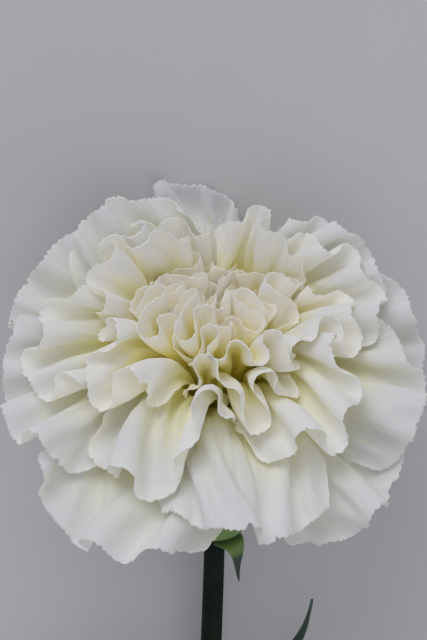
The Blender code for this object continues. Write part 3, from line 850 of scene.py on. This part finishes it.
def leaf_mesh(name, joint, direction, half_width, bends):
    rows, columns = LEAF_GRID
    share = JOINTS[joint]
    centre = stem_line(share)
    along = unit(stem_line(share - 0.01) - centre)
    side = unit(np.cross(along, UP))
    side = -side if side[0] < 0 else side
    up = np.cross(side, along)
    up = -up if up[2] < 0 else up
    out = math.cos(math.radians(direction)) * side + math.sin(math.radians(direction)) * up
    clasp = JOINT_RADIUS + LEAF_GAP
    shares = np.linspace(0, 1, rows)
    middle = bezier([centre + clasp * out, *(centre + np.array(bend) for bend in bends)], shares)
    run = unit(np.gradient(middle, axis=0))
    outward = unit(out - (run @ out)[:, None] * run)
    across = np.cross(run, outward)

    clasping = np.exp(-shares * CLASP_FALL)
    blade = (1 - clasping)[:, None]
    bend = np.radians(BLADE_BEND + CLASP_BEND * clasping)
    width = half_width * (1 - shares**LEAF_CURVE) + LEAF_TIP
    width = width * (1 - clasping) + clasp * bend * clasping
    place = np.linspace(-1, 1, columns)[None, :]
    curve = (width / bend)[:, None]
    angle = place * bend[:, None]
    fold = KEEL_DEPTH * (1 - np.exp(-np.abs(place) * KEEL_WIDTH)) * blade
    ripple = RIPPLE_HEIGHT * np.sin(shares * RIPPLE_RATE + joint)[:, None] * place**2 * blade
    sideways = (curve * np.sin(angle))[..., None] * across[:, None, :]
    outwards = (curve * (np.cos(angle) - 1) - fold + ripple)[..., None] * outward[:, None, :]
    grid = middle[:, None, :] + sideways + outwards
    thickness = (LEAF_THICKNESS - LEAF_THINNING * np.abs(place) ** 3) * MM
    thickness = thickness * (1 - LEAF_TIP_THINNING * shares[:, None] ** 3)
    values = {"reach": np.repeat(shares, columns), "across": np.tile(place[0] * 0.5 + 0.5, rows)}
    return sheet_solid(name, grid, thickness, values)


def calyx_mesh():
    columns = CALYX_COLUMNS
    azimuth = round_azimuths(columns)
    rings = []
    for radius, height in CALYX_FOOT:
        ring = [radius * np.cos(azimuth), radius * np.sin(azimuth), np.full(columns, height)]
        rings.append(np.stack(ring, -1))
    for reach in np.linspace(-26, 0, 14) * MM:
        rings.append(head_point(CALYX_ROW, np.full(columns, reach), azimuth))
    tooth = calyx_tooth(azimuth)
    steps = np.linspace(0, 1, CALYX_TOOTH_RINGS + 1)[1:]
    for share in steps:
        reach = (CALYX_COLLAR + TOOTH_LENGTH * tooth) * share
        rings.append(head_point(CALYX_ROW, reach, azimuth))
    upright = np.array(rings)
    ribs = CALYX_RIB_HEIGHT * np.cos(CALYX_RIBS * azimuth)
    away = np.hypot(upright[..., 0], upright[..., 1])
    share = rise(upright[..., 2], *CALYX_RIB_RISE)
    upright[..., :2] *= (1 + ribs * share / away)[..., None]
    rows = len(upright)
    values = {
        "reach": np.clip(upright[..., 2] / THROAT, 0, 1.3),
        "across": np.tile(azimuth / (2 * np.pi), rows),
    }
    thickness = np.full((rows, columns), CALYX_WALL)
    return sheet_solid("calyx", laid_point(upright), thickness, values, wrap=True)


def bract_mesh(name, middle, half_width, taper, tail, line):
    rows, columns = BRACT_GRID
    shares = np.linspace(0, 1, rows)[:, None]
    across = np.linspace(-1, 1, columns)[None, :]
    weights = spline_weights(len(line), np.linspace(0, len(line) - 1, rows))
    radius, height = (weights @ (np.array(line) * MM)).T[..., None]
    width = half_width * (1 - shares**1.8) ** taper + tail * (1 - shares**6) + BRACT_TIP
    azimuth = math.radians(middle) + np.minimum(width / radius, BRACT_WRAP) * across
    upright = [radius * np.cos(azimuth), radius * np.sin(azimuth), height + 0 * azimuth]
    thickness = (BRACT_THICKNESS - BRACT_THINNING * across**4) * MM + 0 * shares
    values = {
        "reach": np.repeat(shares, columns),
        "across": np.tile(across[0] * 0.5 + 0.5, rows),
        "withered": np.repeat(rise(shares, *WITHERED_RISE) * (tail > 0), columns),
    }
    return sheet_solid(name, lay_down(np.stack(upright, -1)), thickness, values)


# ---------------------------------------------------------------- materials


class Look:
    """A material on one Principled shader, with short ways to add nodes."""

    def __init__(self, name, roughness, specular):
        self.material = bpy.data.materials.new(name)
        self.material.use_nodes = True
        self.tree = self.material.node_tree
        self.shader = self.tree.nodes["Principled BSDF"]
        self.set("Roughness", roughness)
        self.set("Specular IOR Level", specular)

    def set(self, socket, value):
        self.shader.inputs[socket].default_value = value

    def node(self, kind, **settings):
        made = self.tree.nodes.new(kind)
        for key, value in settings.items():
            setattr(made, key, value)
        return made

    def link(self, a, b):
        self.tree.links.new(a, b)

    def feed(self, socket, value):
        """Links a socket to another one, or sets it to a number or a colour."""
        if isinstance(value, (int, float)):
            socket.default_value = value
        elif isinstance(value, tuple):
            socket.default_value = (*value, 1)
        else:
            self.link(value, socket)

    def attribute(self, name):
        return self.node("ShaderNodeAttribute", attribute_name=name).outputs["Fac"]

    def math(self, operation, a, b):
        made = self.node("ShaderNodeMath", operation=operation)
        self.feed(made.inputs[0], a)
        self.feed(made.inputs[1], b)
        return made.outputs[0]

    def times(self, a, b):
        return self.math("MULTIPLY", a, b)

    def uneven(self, place, noise, size):
        """place plus a noise about its mean."""
        return self.math("ADD", place, self.times(self.math("SUBTRACT", noise, 0.5), size))

    def vector(self, x, y, z=0.0):
        made = self.node("ShaderNodeCombineXYZ")
        for socket, value in zip(made.inputs, (x, y, z)):
            self.feed(socket, value)
        return made.outputs[0]

    def ramp(self, factor, stops):
        made = self.node("ShaderNodeValToRGB")
        elements = made.color_ramp.elements
        while len(elements) < len(stops):
            elements.new(0.5)
        for element, (place, colour) in zip(elements, stops):
            element.position = place
            element.color = (*colour, 1)
        self.link(factor, made.inputs[0])
        return made.outputs[0]

    def noise(self, scale, vector=None, detail=3.0, roughness=0.5):
        made = self.node("ShaderNodeTexNoise")
        made.inputs["Scale"].default_value = scale
        made.inputs["Detail"].default_value = detail
        made.inputs["Roughness"].default_value = roughness
        if vector is None:
            vector = self.node("ShaderNodeTexCoord").outputs["Object"]
        self.link(vector, made.inputs["Vector"])
        return made.outputs["Fac"]

    def mix(self, factor, a, b, blend="MIX"):
        made = self.node("ShaderNodeMix", data_type="RGBA", blend_type=blend)
        for socket, value in ((made.inputs[0], factor), (made.inputs[6], a), (made.inputs[7], b)):
            self.feed(socket, value)
        return made.outputs[2]

    def bump(self, height, strength, distance):
        made = self.node("ShaderNodeBump")
        made.inputs["Strength"].default_value = strength
        made.inputs["Distance"].default_value = distance
        self.link(height, made.inputs["Height"])
        self.link(made.outputs[0], self.shader.inputs["Normal"])

    def colour(self, socket):
        self.link(socket, self.shader.inputs["Base Color"])


def petal_look():
    """Cream depths and white margins, with fine streaks along the petal, light passing through, and the
    outer rows darkened and greyed as painted shade.
    """
    look = Look("petal", roughness=0.62, specular=0.25)
    names = ("reach", "white", "inner", "across", "tone")
    reach, white, inner, across, tone = (look.attribute(name) for name in names)
    lengthwise = look.vector(look.times(across, 70), look.times(reach, 2.2), look.times(tone, 40))
    place = look.uneven(white, look.noise(1.0, lengthwise, 2.0), 0.16)
    place = look.uneven(place, look.noise(110, detail=2.0), 0.10)
    place = look.uneven(place, tone, 0.10)
    colour = look.ramp(place, PETAL_RAMP)
    colour = look.mix(look.times(inner, inner), colour, HEART_TINT, "MULTIPLY")
    # painted shade: darkens and greys the outer rows, fading inwards
    look.colour(look.mix(look.ramp(inner, OUTER_PAINTED_SHADE_FADE), colour, OUTER_PAINTED_SHADE, "MULTIPLY"))
    lengthwise = look.vector(look.times(across, 130), look.times(reach, 3.0), look.times(tone, 70))
    look.bump(look.noise(1.0, lengthwise, 3.0), 0.35, 0.0003)
    look.set("Subsurface Weight", 1.0)
    look.set("Subsurface Radius", (1.0, 0.95, 0.72))
    look.set("Subsurface Scale", 0.0007)
    look.set("Sheen Weight", 0.12)
    look.set("Sheen Roughness", 0.5)
    return look.material


def green_look(name, roughness, greens, veins, scale):
    """A waxy green skin: two greens, lengthwise veins and a pale bloom."""
    look = Look(name, roughness, specular=0.4)
    reach, across = look.attribute("reach"), look.attribute("across")
    streak = look.noise(1.0, look.vector(look.times(across, veins), look.times(reach, 5.0)), 2.0)
    patch = look.noise(scale, detail=4.0, roughness=0.6)
    low, high, bloom = greens
    base = look.mix(streak, low, high)
    dusty = look.ramp(patch, ((0.38, (0, 0, 0)), (0.72, (1, 1, 1))))
    look.colour(look.mix(look.times(dusty, 0.35), base, bloom))
    look.bump(streak, 0.3, 0.0002)
    look.set("Sheen Weight", 0.15)
    return look


def calyx_look():
    look = green_look("calyx", 0.45, CALYX_GREENS, veins=60, scale=160)
    fresh = look.shader.inputs["Base Color"].links[0].from_socket
    look.colour(look.mix(look.attribute("withered"), fresh, WITHERED))
    return look.material


def stem_look():
    """Green fibres made far darker than the stem's own grey-green as painted shade, with a thin bloom,
    lighter at both ends, and a pale cut.
    """
    look = Look("stem", roughness=0.6, specular=0.08)
    along, cut = look.attribute("along"), look.attribute("cut")
    stretch = look.node("ShaderNodeMapping")
    stretch.inputs["Scale"].default_value = (1, 0.08, 1)
    look.link(look.node("ShaderNodeTexCoord").outputs["Object"], stretch.inputs["Vector"])
    fibre = look.noise(900, stretch.outputs[0], 3.0)
    # the fibres' dark greens are painted shade
    base = look.mix(fibre, *STEM_PAINTED_SHADE_GREENS)
    lit = look.ramp(along, ((0.0, (0.10, 0.10, 0.10)), (0.05, (0, 0, 0)), (1.0, (0.10, 0.10, 0.10))))
    base = look.mix(lit, base, STEM_ENDS)
    patch = look.noise(130, detail=4.0, roughness=0.6)
    dusty = look.ramp(patch, ((0.42, (0, 0, 0)), (0.75, (1, 1, 1))))
    base = look.mix(look.times(dusty, 0.14), base, STEM_BLOOM)
    look.colour(look.mix(cut, base, look.ramp(look.noise(1500), PITH_RAMP)))
    look.bump(fibre, 0.25, 0.0002)
    return look.material


def heart_look():
    look = Look("heart", roughness=0.5, specular=0.5)
    look.colour(look.ramp(look.noise(600), HEART_RAMP))
    look.bump(look.noise(1500), 0.2, 0.0002)
    return look.material


# ---------------------------------------------------------------- putting it together

petal = petal_look()
sheets = grow()
for petal_data, sheet in zip(PETALS, sheets):
    name = petal_data[3]
    mesh = petal_mesh(petal_data, sheet)
    add_piece(name + "_ruffled", mesh, petal, "petal", name)

calyx = calyx_look()
add_piece("calyx_ribbed", calyx_mesh(), calyx, "calyx", "calyx")
for i, bract in enumerate(BRACTS):
    name = f"bract_{i + 1}"
    add_piece(name + "_scale", bract_mesh(name, *bract), calyx, "calyx", name)
add_piece("stem_round", stem_mesh(), stem_look(), "stem", "stem")
leaf = green_look("leaf", 0.5, LEAF_GREENS, veins=40, scale=140).material
for i, blade in enumerate(LEAVES):
    name = f"leaf_{i + 1}"
    add_piece(name + "_blade", leaf_mesh(name, *blade), leaf, "leaf", name)
heart = heart_look()
for name in ("receptacle", "pistil"):
    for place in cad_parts[name].material_slots:
        place.material = heart

# ---------------------------------------------------------------- floor, lights and camera


def add_floor():
    corners = [(x * FLOOR_HALF, y * FLOOR_HALF, 0.0) for x, y in ((-1, -1), (1, -1), (1, 1), (-1, 1))]
    made = bpy.data.objects.new("floor", new_mesh("floor", corners, np.array([[0, 1, 2, 3]])))
    bpy.context.scene.collection.objects.link(made)
    look = Look("floor", roughness=0.9, specular=0.1)
    look.colour(look.ramp(look.noise(60, detail=5.0), FLOOR_RAMP))
    made.data.materials.append(look.material)


def add_light(name, place, target, size, power):
    lamp = bpy.data.lights.new(name, "AREA")
    lamp.shape = "SQUARE"
    lamp.size = size
    lamp.energy = power
    made = bpy.data.objects.new(name, lamp)
    bpy.context.scene.collection.objects.link(made)
    made.location = place
    made.rotation_mode = "QUATERNION"
    made.rotation_quaternion = (Vector(place) - Vector(target)).to_track_quat("Z", "Y")


def add_world():
    world = bpy.data.worlds.new("world")
    bpy.context.scene.world = world
    world.use_nodes = True
    background = world.node_tree.nodes["Background"]
    background.inputs[0].default_value = WORLD_COLOUR
    background.inputs[1].default_value = WORLD_STRENGTH


def add_camera():
    """Looks down on the head, with the head's axis upright in the picture."""
    elevation = math.radians(CAMERA_ELEVATION)
    back = Vector((0, -math.cos(elevation), math.sin(elevation)))
    axis = Vector(HEAD_AXIS)
    up = (axis - axis.dot(back) * back).normalized()
    right = up.cross(back)
    target = Vector(THROAT_PLACE) + right * AIM[0] + up * AIM[1]
    camera = bpy.data.cameras.new("camera")
    camera.sensor_width = SENSOR
    camera.lens = SENSOR * CAMERA_DISTANCE / FRAME_HEIGHT
    made = bpy.data.objects.new("camera", camera)
    bpy.context.scene.collection.objects.link(made)
    turn = Matrix((right, up, back)).transposed().to_4x4()
    made.matrix_world = Matrix.Translation(target + back * CAMERA_DISTANCE) @ turn
    bpy.context.scene.camera = made


add_floor()
for name, light in LIGHTS.items():
    add_light(name, *light)
add_world()
bpy.context.scene.view_settings.view_transform = "Standard"
bpy.context.scene.cycles.diffuse_bounces = DIFFUSE_BOUNCES
add_camera()
